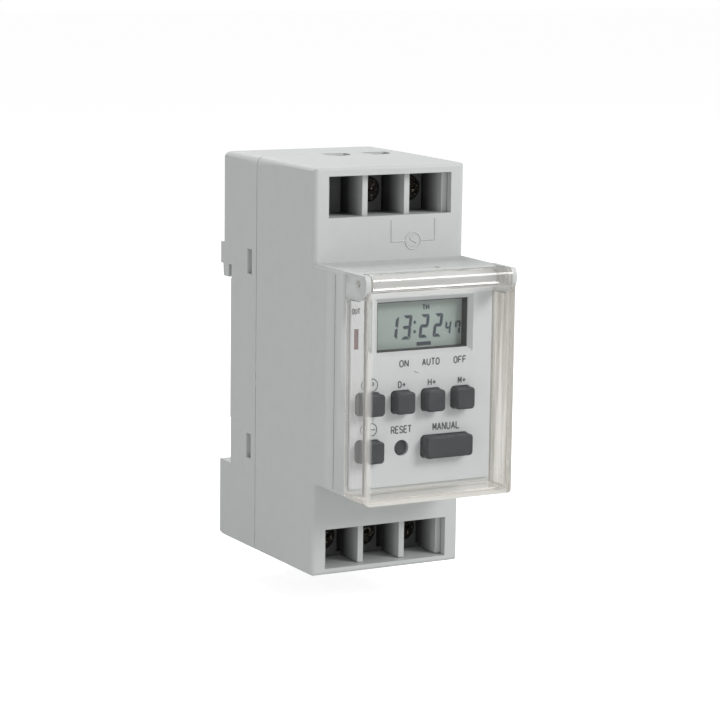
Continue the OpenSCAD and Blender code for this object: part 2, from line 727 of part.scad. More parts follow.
front_housing();
rear_cover();
front_panel();
clear_cover();
din_clip();
din_clip_spring();
upper_terminal_block();
lower_terminal_block();
lcd_display();
lcd_holder();
zebra_connector();
control_pcb();
microcontroller();
quartz_crystal();
backup_battery();
battery_strap();
tact_switches();
status_led();
power_pcb();
relay();
film_capacitor();
electrolytic_capacitor();
varistor();
rectifier_diodes();
dropper_resistor();
board_header();
contact_bars();
control_board_screws();
power_board_screws();
button_program();
button_day();
button_hour();
button_minute();
button_clock();
button_manual();
button_reset();
plunger_program();
plunger_day();
plunger_hour();
plunger_minute();
plunger_clock();
plunger_manual();
plunger_reset();
terminal_screw(0, upper_z);  // screw_upper_centre
terminal_screw(terminal_pitch, upper_z);  // screw_upper_right
terminal_screw(-terminal_pitch, -lower_z);  // screw_lower_left
terminal_screw(0, -lower_z);  // screw_lower_centre
terminal_screw(terminal_pitch, -lower_z);  // screw_lower_right
clamp_cage(0, upper_z);  // cage_upper_centre
clamp_cage(terminal_pitch, upper_z);  // cage_upper_right
clamp_cage(-terminal_pitch, -lower_z);  // cage_lower_left
clamp_cage(0, -lower_z);  // cage_lower_centre
clamp_cage(terminal_pitch, -lower_z);  // cage_lower_right
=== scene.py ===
"""Looks of a two-module weekly timer for a mounting rail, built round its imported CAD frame."""
import json
import math

import bmesh
import bpy
from mathutils import Matrix, Vector


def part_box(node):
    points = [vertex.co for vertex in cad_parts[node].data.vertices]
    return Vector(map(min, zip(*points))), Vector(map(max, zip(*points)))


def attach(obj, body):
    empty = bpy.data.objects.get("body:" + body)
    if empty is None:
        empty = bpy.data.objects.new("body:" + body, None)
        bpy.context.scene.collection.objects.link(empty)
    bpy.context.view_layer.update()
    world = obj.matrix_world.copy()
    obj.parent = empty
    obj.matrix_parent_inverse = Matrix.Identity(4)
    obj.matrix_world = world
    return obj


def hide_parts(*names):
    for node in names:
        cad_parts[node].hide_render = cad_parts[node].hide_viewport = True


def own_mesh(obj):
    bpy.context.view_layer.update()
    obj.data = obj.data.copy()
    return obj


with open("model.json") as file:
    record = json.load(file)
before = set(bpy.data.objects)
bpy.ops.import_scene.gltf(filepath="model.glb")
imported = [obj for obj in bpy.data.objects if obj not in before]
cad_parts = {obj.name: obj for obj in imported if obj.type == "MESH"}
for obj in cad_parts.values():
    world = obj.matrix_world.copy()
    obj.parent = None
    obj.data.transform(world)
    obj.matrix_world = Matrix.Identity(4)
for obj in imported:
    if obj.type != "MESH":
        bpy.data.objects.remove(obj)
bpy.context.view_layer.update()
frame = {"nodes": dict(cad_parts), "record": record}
nodes = frame["nodes"]
record = frame["record"]
body_of = {node: body for body, names in record["behaviour"]["bodies"].items() for node in names}
slot_of = {part["node"]: part["material_slot"] for part in record["subparts"]}
MM = 0.001

# ---------------------------------------------------------------- camera

# Where the photographer stood, from the object's frame: millimetres and degrees
AIM = Vector((0, -28, 0)) * MM
DISTANCE = 575.5 * MM
AZIMUTH, ELEVATION, ROLL = map(math.radians, (28.73, 9.47, -0.77))
LENS, SENSOR = 135.45, 36
SHIFT = (-0.0053, 0.0022)


def make_camera():
    """A long lens in front of the object, to its left and a little above it."""
    flat = math.cos(ELEVATION)
    back = Vector((-math.sin(AZIMUTH) * flat, -math.cos(AZIMUTH) * flat, math.sin(ELEVATION)))
    right = (-back).cross(Vector((0, 0, 1))).normalized()
    up = right.cross(-back)
    data = bpy.data.cameras.new("camera")
    data.lens, data.sensor_width = LENS, SENSOR
    data.shift_x, data.shift_y = SHIFT
    camera = bpy.data.objects.new("camera", data)
    turn = Matrix.Rotation(-ROLL, 3, back)
    axes = Matrix((turn @ right, turn @ up, back)).transposed()
    camera.matrix_world = Matrix.Translation(AIM + back * DISTANCE) @ axes.to_4x4()
    bpy.context.scene.collection.objects.link(camera)
    bpy.context.scene.camera = camera


# ---------------------------------------------------------------- materials

def start_material(name):
    """A new material with its node tree and its main shader."""
    made = bpy.data.materials.new(name)
    made.use_nodes = True
    tree = made.node_tree
    return made, tree, tree.nodes["Principled BSDF"]


def noise(tree, scale, detail=2.0, stretch=(1, 1, 1)):
    """Noise over the object's own coordinates; the scale is in features per metre."""
    place = tree.nodes.new("ShaderNodeTexCoord")
    mapping = tree.nodes.new("ShaderNodeMapping")
    mapping.inputs["Scale"].default_value = stretch
    texture = tree.nodes.new("ShaderNodeTexNoise")
    texture.inputs["Scale"].default_value = scale
    texture.inputs["Detail"].default_value = detail
    tree.links.new(place.outputs["Object"], mapping.inputs["Vector"])
    tree.links.new(mapping.outputs["Vector"], texture.inputs["Vector"])
    return texture.outputs["Fac"]


def between(tree, source, low, high, stops=(0.3, 0.7)):
    """A number that goes from low to high as the source crosses its two stops."""
    spread = tree.nodes.new("ShaderNodeMapRange")
    for socket, value in zip(("From Min", "From Max", "To Min", "To Max"), (*stops, low, high)):
        spread.inputs[socket].default_value = value
    tree.links.new(source, spread.inputs["Value"])
    return spread.outputs["Result"]


def blend(tree, source, first, second):
    """A colour between two, each a triple or a socket, by a number from 0 to 1."""
    mix = tree.nodes.new("ShaderNodeMix")
    mix.data_type = "RGBA"
    tree.links.new(source, mix.inputs[0])
    for index, colour in ((6, first), (7, second)):
        if isinstance(colour, tuple):
            mix.inputs[index].default_value = (*colour, 1)
        else:
            tree.links.new(colour, mix.inputs[index])
    return mix.outputs[2]


def bump(tree, shader, source, strength, depth):
    """Relief of the given depth in millimetres."""
    relief = tree.nodes.new("ShaderNodeBump")
    relief.inputs["Strength"].default_value = strength
    relief.inputs["Distance"].default_value = depth * MM
    tree.links.new(source, relief.inputs["Height"])
    tree.links.new(relief.outputs["Normal"], shader.inputs["Normal"])


def scaled(colour, factor):
    return tuple(min(1.0, part * factor) for part in colour)


def moulded(name, colour, rough, grain=0.3, mottle=0.012, gloss=0.0):
    """Moulded plastic: fine spark-eroded grain, faint flow mottling, uneven sheen."""
    made, tree, shader = start_material(name)
    cloud = between(tree, noise(tree, 420, 5), 0, 1)
    shade = blend(tree, cloud, scaled(colour, 1 - mottle), scaled(colour, 1 + mottle))
    tree.links.new(shade, shader.inputs["Base Color"])
    sheen = between(tree, noise(tree, 700, 3), rough - 0.05, rough + 0.06)
    tree.links.new(sheen, shader.inputs["Roughness"])
    bump(tree, shader, noise(tree, 4200, 3), grain, 0.02)
    shader.inputs["IOR"].default_value = 1.5
    shader.inputs["Coat Weight"].default_value = gloss
    shader.inputs["Coat Roughness"].default_value = 0.08
    return made


def painted_pocket_shade(name, colour, rough, front, back, darkest):
    """Moulded plastic of a deep pocket with painted shade: it darkens from its mouth at front to back, in
    millimetres, where the pocket lies in shadow.
    """
    made = moulded(name, colour, rough)
    tree = made.node_tree
    shader = tree.nodes["Principled BSDF"]
    place = tree.nodes.new("ShaderNodeTexCoord")
    parts = tree.nodes.new("ShaderNodeSeparateXYZ")
    tree.links.new(place.outputs["Object"], parts.inputs[0])
    depth = between(tree, parts.outputs["Y"], 0, 1, (front * MM, back * MM))
    plain = shader.inputs["Base Color"].links[0].from_socket
    tree.links.new(blend(tree, depth, plain, scaled(colour, darkest)), shader.inputs["Base Color"])
    return made


def brushed(name, colour, rough, stretch=(1, 6, 1), tarnish=0.35):
    """Plated or drawn metal: fine directional scratches and uneven tarnish."""
    made, tree, shader = start_material(name)
    patina = between(tree, noise(tree, 420, 5), 0, 1)
    shade = blend(tree, patina, scaled(colour, 1 - tarnish), colour)
    tree.links.new(shade, shader.inputs["Base Color"])
    shader.inputs["Metallic"].default_value = 1
    scratches = noise(tree, 2600, 6, stretch)
    tree.links.new(between(tree, scratches, rough - 0.08, rough + 0.12), shader.inputs["Roughness"])
    bump(tree, shader, scratches, 0.35, 0.012)
    return made


def screw_painted_shade_glints(name):
    """Screw metal with painted shade, dark all over, and small bright spots of painted glint."""
    made, tree, shader = start_material(name)
    # Painted glints: bright spots scattered over the dark metal
    painted_glints = between(tree, noise(tree, 1500, 6), 0, 1, (0.56, 0.66))
    shade = blend(tree, painted_glints, (0.045, 0.038, 0.032), (0.42, 0.38, 0.33))
    tree.links.new(shade, shader.inputs["Base Color"])
    shader.inputs["Metallic"].default_value = 0.9
    tree.links.new(between(tree, noise(tree, 900, 4), 0.22, 0.42), shader.inputs["Roughness"])
    bump(tree, shader, noise(tree, 3000, 4), 0.3, 0.02)
    return made


def circuit_board(name, mask, copper):
    """Board with a woven surface and raised tracks under its solder mask."""
    made, tree, shader = start_material(name)
    place = tree.nodes.new("ShaderNodeTexCoord")
    tracks = tree.nodes.new("ShaderNodeTexBrick")
    for socket, value in (("Scale", 260), ("Mortar Size", 0.06), ("Brick Width", 0.9), ("Row Height", 0.35)):
        tracks.inputs[socket].default_value = value
    turn = tree.nodes.new("ShaderNodeMapping")
    turn.inputs["Rotation"].default_value = (math.radians(90), 0, 0)
    tree.links.new(place.outputs["Object"], turn.inputs["Vector"])
    tree.links.new(turn.outputs["Vector"], tracks.inputs["Vector"])
    shade = blend(tree, tracks.outputs["Fac"], mask, copper)
    weave = between(tree, noise(tree, 2500, 2, (1, 1, 4)), 0, 0.25)
    tree.links.new(blend(tree, weave, shade, scaled(mask, 0.6)), shader.inputs["Base Color"])
    tree.links.new(between(tree, noise(tree, 600, 2), 0.28, 0.42), shader.inputs["Roughness"])
    bump(tree, shader, tracks.outputs["Fac"], 0.4, 0.03)
    return made


def striped_rubber(name):
    """Elastomer of conducting and insulating layers, a fraction of a millimetre each."""
    made, tree, shader = start_material(name)
    place = tree.nodes.new("ShaderNodeTexCoord")
    wave = tree.nodes.new("ShaderNodeTexWave")
    wave.inputs["Scale"].default_value = 900
    wave.inputs["Distortion"].default_value = 0.4
    tree.links.new(place.outputs["Object"], wave.inputs["Vector"])
    shade = blend(tree, wave.outputs["Fac"], (0.72, 0.4, 0.45), (0.05, 0.045, 0.045))
    tree.links.new(shade, shader.inputs["Base Color"])
    tree.links.new(between(tree, noise(tree, 900), 0.55, 0.75), shader.inputs["Roughness"])
    return made


def display_face(name):
    """Grey-green liquid crystal under its polariser: a soft cloud of tint, a satin film on top."""
    made, tree, shader = start_material(name)
    cloud = between(tree, noise(tree, 90, 3), 0, 1)
    shade = blend(tree, cloud, (0.36, 0.43, 0.407), (0.40, 0.468, 0.446))
    tree.links.new(shade, shader.inputs["Base Color"])
    tree.links.new(between(tree, noise(tree, 500, 2), 0.2, 0.28), shader.inputs["Roughness"])
    bump(tree, shader, noise(tree, 5000, 2), 0.12, 0.01)
    shader.inputs["Coat Weight"].default_value = 0.35
    shader.inputs["Coat Roughness"].default_value = 0.12
    return made


def combine(tree, operation, *values):
    """A chain of one math operation over sockets and numbers."""
    result = values[0]
    for value in values[1:]:
        step = tree.nodes.new("ShaderNodeMath")
        step.operation = operation
        for index, part in enumerate((result, value)):
            if isinstance(part, (int, float)):
                step.inputs[index].default_value = part
            else:
                tree.links.new(part, step.inputs[index])
        result = step.outputs[0]
    return result


# Where the cover changes from clear to milky, and where its right skirt takes painted shade, in millimetres
# across, forward and up
SKIRT_X, SHADED_SKIRT_X, PLATE_Y = (15.9, 16.7), (15.6, 16.1), (-60.8, -59.7)
LOW_WALL_Z, BEAD_Z = (-23.2, -21.9), (18.6, 19.4)
ALONG_SKIRT = (1, 1, 0.04)


def cover_haze(tree):
    """How milky the cover is, most at its corners and lower wall, and where its right skirt carries painted
    shade.
    """
    place = tree.nodes.new("ShaderNodeTexCoord")
    parts = tree.nodes.new("ShaderNodeSeparateXYZ")
    tree.links.new(place.outputs["Object"], parts.inputs[0])
    across = tree.nodes.new("ShaderNodeMath")
    across.operation = "ABSOLUTE"
    tree.links.new(parts.outputs["X"], across.inputs[0])

    def zone(source, first, last, stops):
        return between(tree, source, first, last, (stops[0] * MM, stops[1] * MM))

    def both(one, other):
        return combine(tree, "MULTIPLY", one, other)

    side = zone(across.outputs[0], 0, 1, SKIRT_X)
    front = zone(parts.outputs["Y"], 1, 0, PLATE_Y)
    low = zone(parts.outputs["Z"], 1, 0, LOW_WALL_Z)
    bead = zone(parts.outputs["Z"], 0, 1, BEAD_Z)
    right_shade = zone(parts.outputs["X"], 0, 1, SHADED_SKIRT_X)
    corners = combine(tree, "MAXIMUM", both(side, front), both(side, low), both(front, low))
    streaks = between(tree, noise(tree, 900, 2, ALONG_SKIRT), 0.03, 0.18)
    # Painted shade: the right skirt alone turns cloudy, in streaks
    right_shade_haze = between(tree, noise(tree, 700, 2, ALONG_SKIRT), 0.12, 0.46, (0.38, 0.6))
    haze = combine(tree, "MAXIMUM", both(corners, 0.5), both(side, streaks), both(low, 0.5),
                   both(bead, 0.12), both(right_shade, right_shade_haze))
    return haze, right_shade


def clear_plastic(name, tint=(0.985, 0.98, 0.97), milk=(0.92, 0.905, 0.87), shaded_milk=(0.62, 0.60, 0.55)):
    """Polished clear moulding with faint handling marks; light passes straight to what is behind it."""
    made, tree, shader = start_material(name)
    handling = noise(tree, 260, 5, (1, 1, 0.3))
    haze, right_shade = cover_haze(tree)
    clear = blend(tree, between(tree, handling, 0, 1), tint, scaled(tint, 0.985))
    # Painted shade: on the right skirt the cloudy colour goes from milk to a darker brown-grey
    cloudy = blend(tree, right_shade, milk, shaded_milk)
    colour = blend(tree, between(tree, haze, 0, 1, (0, 0.4)), clear, cloudy)
    tree.links.new(colour, shader.inputs["Base Color"])
    tree.links.new(between(tree, handling, 0.0, 0.03, (0.45, 0.75)), shader.inputs["Roughness"])
    tree.links.new(between(tree, haze, 1, 0, (0, 1)), shader.inputs["Transmission Weight"])
    shader.inputs["IOR"].default_value = 1.49
    bump(tree, shader, noise(tree, 120, 2), 0.05, 0.02)
    path = tree.nodes.new("ShaderNodeLightPath")
    either = tree.nodes.new("ShaderNodeMath")
    either.operation = "MAXIMUM"
    through = tree.nodes.new("ShaderNodeBsdfTransparent")
    mix = tree.nodes.new("ShaderNodeMixShader")
    output = tree.nodes["Material Output"]
    tree.links.new(path.outputs["Is Shadow Ray"], either.inputs[0])
    tree.links.new(path.outputs["Is Diffuse Ray"], either.inputs[1])
    tree.links.new(either.outputs[0], mix.inputs[0])
    tree.links.new(shader.outputs[0], mix.inputs[1])
    tree.links.new(through.outputs[0], mix.inputs[2])
    tree.links.new(mix.outputs[0], output.inputs["Surface"])
    depth = tree.nodes.new("ShaderNodeVolumeAbsorption")
    depth.inputs["Color"].default_value = (0.9, 0.84, 0.76, 1)
    depth.inputs["Density"].default_value = 40
    tree.links.new(depth.outputs[0], output.inputs["Volume"])
    return made


def ink(name, colour, cover=1.0):
    """Screen-printed ink, a little uneven, also used for a painted shadow; cover below 1 lets what is under
    it show.
    """
    made, tree, shader = start_material(name)
    patch = between(tree, noise(tree, 1800, 4), 0, 1)
    shade = blend(tree, patch, scaled(colour, 0.85), scaled(colour, 1.15))
    tree.links.new(shade, shader.inputs["Base Color"])
    tree.links.new(between(tree, noise(tree, 900), 0.45, 0.6), shader.inputs["Roughness"])
    shader.inputs["Alpha"].default_value = cover
    return made


SHELL_GREY, SHELL_ROUGH = (0.585, 0.605, 0.595), 0.42
materials = {
    "grey_shell": moulded("grey_shell", SHELL_GREY, SHELL_ROUGH),
    "panel_plastic": moulded("panel_plastic", (0.64, 0.665, 0.68), 0.5, 0.25, 0.015),
    "clear_plastic": clear_plastic("clear_plastic"),
    "lcd_face": display_face("lcd_face"),
    "white_plastic": moulded("white_plastic", (0.72, 0.72, 0.69), 0.45),
    "pink_rubber": striped_rubber("pink_rubber"),
    "green_board": circuit_board("green_board", (0.02, 0.14, 0.05), (0.05, 0.27, 0.1)),
    "brown_board": circuit_board("brown_board", (0.36, 0.23, 0.1), (0.46, 0.3, 0.12)),
    "black_plastic": moulded("black_plastic", (0.02, 0.02, 0.022), 0.5, 0.4, 0.2),
    "nickel_plate": brushed("nickel_plate", (0.66, 0.65, 0.62), 0.28),
    "spring_steel": brushed("spring_steel", (0.52, 0.52, 0.54), 0.32),
    "red_lens": moulded("red_lens", (0.12, 0.03, 0.027), 0.28, 0.1, 0.08, 0.3),
    "blue_plastic": moulded("blue_plastic", (0.03, 0.09, 0.33), 0.32, 0.15, 0.06, 0.3),
    "yellow_plastic": moulded("yellow_plastic", (0.68, 0.52, 0.08), 0.32, 0.15, 0.05, 0.3),
    "dark_sleeve": moulded("dark_sleeve", (0.02, 0.03, 0.06), 0.26, 0.2, 0.1, 0.4),
    "tan_ceramic": moulded("tan_ceramic", (0.5, 0.38, 0.25), 0.6, 0.6, 0.08),
    "brass_strip": brushed("brass_strip", (0.74, 0.54, 0.25), 0.3),
    "zinc_screw": brushed("zinc_screw", (0.62, 0.62, 0.64), 0.3),
    "dark_screw": screw_painted_shade_glints("dark_screw"),
    "zinc_cage": brushed("zinc_cage", (0.6, 0.6, 0.58), 0.34),
    "slate_button": moulded("slate_button", (0.03, 0.035, 0.041), 0.6, 0.55, 0.1),
    "brown_plunger": moulded("brown_plunger", (0.25, 0.09, 0.05), 0.5, 0.3, 0.08),
}
# Painted shade: near-black plastic for the shaded inside of the display window
window_shade_black = moulded("window_shade_black", (0.05, 0.055, 0.055), 0.6)
legend_ink = ink("legend_ink", (0.10, 0.105, 0.11))
faint_ink = ink("faint_ink", (0.40, 0.41, 0.41))
segment_ink = ink("segment_ink", (0.058, 0.072, 0.095))
# Painted shadow of the display's segments
segment_shadow = ink("segment_shadow", (0.17, 0.2, 0.2), 0.45)

# ---------------------------------------------------------------- pieces

def add_piece(name, mesh, body, material):
    """Puts a mesh in the scene as a piece that rides on a body."""
    piece = bpy.data.objects.new(name, mesh)
    bpy.context.scene.collection.objects.link(piece)
    mesh.materials.clear()
    mesh.materials.append(material)
    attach(piece, body)
    return piece


# Two broad flat sides that meet at a slight angle keep their edge; narrow strips of a curve don't
SHARP, SLIGHT = math.radians(28), math.radians(0.5)
BROAD_FACE = 60 * MM ** 2


def keeps_edge(edge):
    """Whether shading breaks at an edge."""
    if not edge.is_manifold:
        return False
    broad = all(face.calc_area() > BROAD_FACE for face in edge.link_faces)
    return edge.calc_face_angle(0) >= (SLIGHT if broad else SHARP)


def clean_copy(source):
    """The CAD mesh with its flat areas joined into single faces, and its sharp edges marked."""
    mesh = bpy.data.meshes.new("copy")
    shape = bmesh.new()
    shape.from_mesh(source.data)
    bmesh.ops.remove_doubles(shape, verts=shape.verts, dist=0.002 * MM)
    bmesh.ops.dissolve_limit(shape, angle_limit=math.radians(0.4), verts=shape.verts, edges=shape.edges)
    for face in shape.faces:
        face.smooth = True
    for edge in shape.edges:
        edge.smooth = not keeps_edge(edge)
    shape.to_mesh(mesh)
    shape.free()
    return mesh


def soften(name, width, segments=3, material=None):
    """A moulding stands in for its CAD node with every sharp edge rounded by width, in millimetres."""
    piece = add_piece("moulded_" + name, clean_copy(nodes[name]), body_of[name],
                      material or materials[slot_of[name]])
    rounding = piece.modifiers.new("rounding", "BEVEL")
    rounding.width, rounding.segments = width * MM, segments
    rounding.limit_method, rounding.angle_limit = "ANGLE", SHARP
    flatness = piece.modifiers.new("flatness", "WEIGHTED_NORMAL")
    flatness.mode, flatness.keep_sharp = "FACE_AREA", True
    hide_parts(name)
    return piece


def joined(meshes):
    """One mesh of several."""
    whole = bpy.data.meshes.new("joined")
    shape = bmesh.new()
    for mesh in meshes:
        shape.from_mesh(mesh)
    shape.to_mesh(whole)
    shape.free()
    return whole


def polygons(outlines, y):
    """Flat faces on the front, each from its corners in X and Z, in millimetres."""
    mesh = bpy.data.meshes.new("polygons")
    shape = bmesh.new()
    for outline in outlines:
        shape.faces.new([shape.verts.new(Vector((x, y, z)) * MM) for x, z in outline])
    bmesh.ops.recalc_face_normals(shape, faces=shape.faces)
    shape.to_mesh(mesh)
    shape.free()
    return mesh


def square_tube(outer, inner, depths):
    """A closed wall between two outlines in X and Z, from one depth to the other, in millimetres."""
    mesh = bpy.data.meshes.new("tube")
    shape = bmesh.new()
    front, back = depths
    loops = [[shape.verts.new(Vector((x, y, z)) * MM) for x, z in outline]
             for outline, y in ((outer, front), (outer, back), (inner, back), (inner, front))]
    for first, second in zip(loops, loops[1:] + loops[:1]):
        for i in range(len(first)):
            j = (i + 1) % len(first)
            shape.faces.new((first[i], first[j], second[j], second[i]))
    bmesh.ops.recalc_face_normals(shape, faces=shape.faces)
    shape.to_mesh(mesh)
    shape.free()
    return mesh


def ring(centre, radius, width, steps=48, start=0.0, stop=360.0):
    """Corners of the small faces that make up a printed ring or arc."""
    faces = []
    for i in range(steps):
        a, b = (math.radians(start + (stop - start) * k / steps) for k in (i, i + 1))
        faces.append([(centre[0] + r * math.cos(t), centre[1] + r * math.sin(t))
                      for r, t in ((radius - width / 2, a), (radius + width / 2, a),
                                   (radius + width / 2, b), (radius - width / 2, b))])
    return faces


def bar(a, b, width):
    """Corners of a printed line between two points."""
    a, b = Vector(a), Vector(b)
    along = (b - a).normalized() * width / 2
    side = Vector((-along.y, along.x))
    return [tuple(corner) for corner in (a - side, b - side, b + side, a + side)]


def raised_line(points, radius):
    """A half-round moulded line along points given in millimetres."""
    curve = bpy.data.curves.new("line", "CURVE")
    curve.dimensions = "3D"
    curve.bevel_depth = radius * MM
    curve.bevel_resolution = 3
    curve.use_fill_caps = True
    spline = curve.splines.new("POLY")
    spline.points.add(len(points) - 1)
    for point, place in zip(spline.points, points):
        point.co = (*(Vector(place) * MM), 1)
    holder = bpy.data.objects.new("line", curve)
    bpy.context.scene.collection.objects.link(holder)
    graph = bpy.context.evaluated_depsgraph_get()
    mesh = bpy.data.meshes.new_from_object(holder.evaluated_get(graph), depsgraph=graph)
    bpy.data.objects.remove(holder)
    for face in mesh.polygons:
        face.use_smooth = True
    return mesh


# Condensed capitals for generic function words: strokes in a unit square
ROUND_O = [(0.3, 0), (0, 0.22), (0, 0.78), (0.3, 1), (0.7, 1), (1, 0.78), (1, 0.22), (0.7, 0), (0.3, 0)]
LOOP = [(0, 0), (0, 1), (0.72, 1), (1, 0.86), (1, 0.62), (0.72, 0.47), (0, 0.47)]
STROKES = {
    "A": [[(0, 0), (0.5, 1), (1, 0)], [(0.17, 0.33), (0.83, 0.33)]],
    "D": [[(0, 0), (0, 1), (0.6, 1), (1, 0.75), (1, 0.25), (0.6, 0), (0, 0)]],
    "E": [[(1, 0), (0, 0), (0, 1), (1, 1)], [(0, 0.52), (0.85, 0.52)]],
    "F": [[(0, 0), (0, 1), (1, 1)], [(0, 0.5), (0.85, 0.5)]],
    "H": [[(0, 0), (0, 1)], [(1, 0), (1, 1)], [(0, 0.5), (1, 0.5)]],
    "L": [[(0, 1), (0, 0), (1, 0)]],
    "M": [[(0, 0), (0, 1), (0.5, 0.25), (1, 1), (1, 0)]],
    "N": [[(0, 0), (0, 1), (1, 0), (1, 1)]],
    "O": [ROUND_O],
    "P": [LOOP],
    "R": [LOOP, [(0.55, 0.47), (1, 0)]],
    "S": [[(1, 0.82), (0.7, 1), (0.3, 1), (0, 0.82), (0, 0.64), (0.3, 0.52), (0.7, 0.48), (1, 0.36),
           (1, 0.18), (0.7, 0), (0.3, 0), (0, 0.18)]],
    "T": [[(0.5, 0), (0.5, 1)], [(0, 1), (1, 1)]],
    "U": [[(0, 1), (0, 0.22), (0.3, 0), (0.7, 0), (1, 0.22), (1, 1)]],
    "+": [[(0.5, 0.15), (0.5, 0.75)], [(0, 0.45), (1, 0.45)]],
}


def word_faces(words, low, high, weight):
    """Corners of the strokes of a word that fills a rectangle, in millimetres."""
    pitch = (high[0] - low[0] - weight) / (len(words) - 0.32)
    across, upward = pitch * 0.68, high[1] - low[1] - weight
    faces = []
    for i, letter in enumerate(words):
        left, foot = low[0] + weight / 2 + i * pitch, low[1] + weight / 2
        for stroke in STROKES[letter]:
            places = [(left + x * across, foot + z * upward) for x, z in stroke]
            faces += [bar(a, b, weight) for a, b in zip(places, places[1:])]
    return faces


# Seven-segment digits: which of the segments are dark, named clockwise from the top, then the middle
SEGMENTS = {"1": "bc", "2": "abged", "3": "abgcd", "4": "fgbc", "7": "abcf"}
SLANT = math.tan(math.radians(6))


def segment_faces(digit, low, high, stroke):
    """Corners of one slanted digit's dark segments inside a rectangle."""
    x0, x1, z0, z1 = low[0], high[0], low[1], high[1]
    lean = (z1 - z0) * SLANT
    x1 -= lean
    middle, gap, half = (z0 + z1) / 2, stroke * 0.14, stroke / 2

    def flat_one(z, up):
        left, right = x0 + gap, x1 - gap
        if up == 0:
            return [(left + half, z - half), (right - half, z - half), (right, z),
                    (right - half, z + half), (left + half, z + half), (left, z)]
        inner = stroke * 0.95
        return [(left, z), (right, z), (right - inner, z - up * inner), (left + inner, z - up * inner)]

    def tall_one(x, side, bottom, top, outer_top):
        if outer_top:
            return [(x, top - gap), (x - side * stroke, top - gap - stroke),
                    (x - side * stroke, bottom + gap + half), (x - side * half * 0.4, bottom + gap),
                    (x, bottom + gap + half * 0.5)]
        return [(x, bottom + gap), (x - side * stroke, bottom + gap + stroke),
                (x - side * stroke, top - gap - half), (x - side * half * 0.4, top - gap),
                (x, top - gap - half * 0.5)]

    shapes = {
        "a": flat_one(z1, 1), "d": flat_one(z0, -1), "g": flat_one(middle, 0),
        "b": tall_one(x1, 1, middle, z1, True), "c": tall_one(x1, 1, z0, middle, False),
        "f": tall_one(x0, -1, middle, z1, True), "e": tall_one(x0, -1, z0, middle, False),
    }
    return [[(x + (z - z0) * SLANT, z) for x, z in shapes[key]] for key in SEGMENTS[digit]]


# ---------------------------------------------------------------- the object

make_camera()

for name, node in nodes.items():
    for place in node.material_slots:
        place.material = materials[slot_of[name]]

EDGE_WIDTHS = {
    "front_housing": 0.28, "rear_cover": 0.22, "front_panel": 0.14, "din_clip": 0.2,
    "upper_terminal_block": 0.14, "lower_terminal_block": 0.14, "clear_cover": 0.55,
}
BUTTON_EDGE, METAL_EDGE = 0.14, 0.12
# Painted shade: the terminal blocks' plastic darkens towards the back of their wire pockets
pocket_painted_shade = painted_pocket_shade("pocket_painted_shade", SHELL_GREY, SHELL_ROUGH, -35.5, -30.0, 0.15)
for name, width in EDGE_WIDTHS.items():
    soften(name, width, material=pocket_painted_shade if "terminal_block" in name else None)
for name in nodes:
    if name.startswith("button_"):
        soften(name, BUTTON_EDGE)
    elif name.startswith(("screw_", "cage_")):
        soften(name, METAL_EDGE, 2)

# The clip's spring, a smooth copy of its CAD node with a mesh of its own
spring = add_piece("coil_spring", clean_copy(nodes["din_clip_spring"]), body_of["din_clip_spring"],
                   materials["spring_steel"])
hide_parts("din_clip_spring")
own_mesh(spring)

# Printing on the panel: generic function words and signs
PANEL_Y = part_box("front_panel")[0][1] / MM
PRINT_Y = PANEL_Y - 0.02
WORDS = [
    ("ON", (-5.85, 3.05), (-3.6, 4.6)), ("AUTO", (-0.55, 3.05), (3.65, 4.6)),
    ("OFF", (6.9, 3.05), (10.0, 4.6)), ("D+", (-6.1, -1.2), (-4.2, 0.3)),
    ("H+", (0.9, -1.15), (2.9, 0.35)), ("M+", (8.0, -1.2), (10.0, 0.3)),
    ("RESET", (-7.6, -10.6), (-2.7, -8.95)), ("MANUAL", (2.2, -10.65), (8.7, -8.95)),
    ("OUT", (-15.85, 14.45), (-13.85, 15.75)), ("P", (-12.5, -0.85), (-11.6, 0.55)),
]
PRINT_WEIGHT = 0.27
PROGRAM_SIGN, CLOCK_SIGN = (-12.1, -0.15), (-12.15, -9.3)
SIGN_R, SIGN_LINE, HAND = 1.3, 0.2, 0.95
signs = ring(PROGRAM_SIGN, SIGN_R, SIGN_LINE) + ring(CLOCK_SIGN, SIGN_R, SIGN_LINE)
signs += [bar(CLOCK_SIGN, (CLOCK_SIGN[0] + x * HAND, CLOCK_SIGN[1] + z * HAND), SIGN_LINE)
          for x, z in ((0, 1), (1, 0))]
for words, low, high in WORDS:
    signs += word_faces(words, low, high, PRINT_WEIGHT)
add_piece("panel_legends", polygons(signs, PRINT_Y), "housing", legend_ink)
scuff = [bar((-2.3, 2.15), (-1.75, 1.75), 0.28), bar((-1.8, 1.8), (-1.2, 1.72), 0.2)]
add_piece("panel_scuff", polygons(scuff, PRINT_Y), "housing", faint_ink)

# Painted shade: a thin dark sheet round the display, deep in its window, where its inner wall lies in shadow
WINDOW_HALF, WINDOW_MID, EDGE_Y, EDGE_THICK = (10.58, 5.1), 11.375, (-52.0, -50.06), 0.16
outer, inner = ([(x * (WINDOW_HALF[0] - inset), WINDOW_MID + z * (WINDOW_HALF[1] - inset))
                 for x, z in ((-1, -1), (1, -1), (1, 1), (-1, 1))] for inset in (0, EDGE_THICK))
add_piece("window_painted_shade", square_tube(outer, inner, EDGE_Y), "housing", window_shade_black)

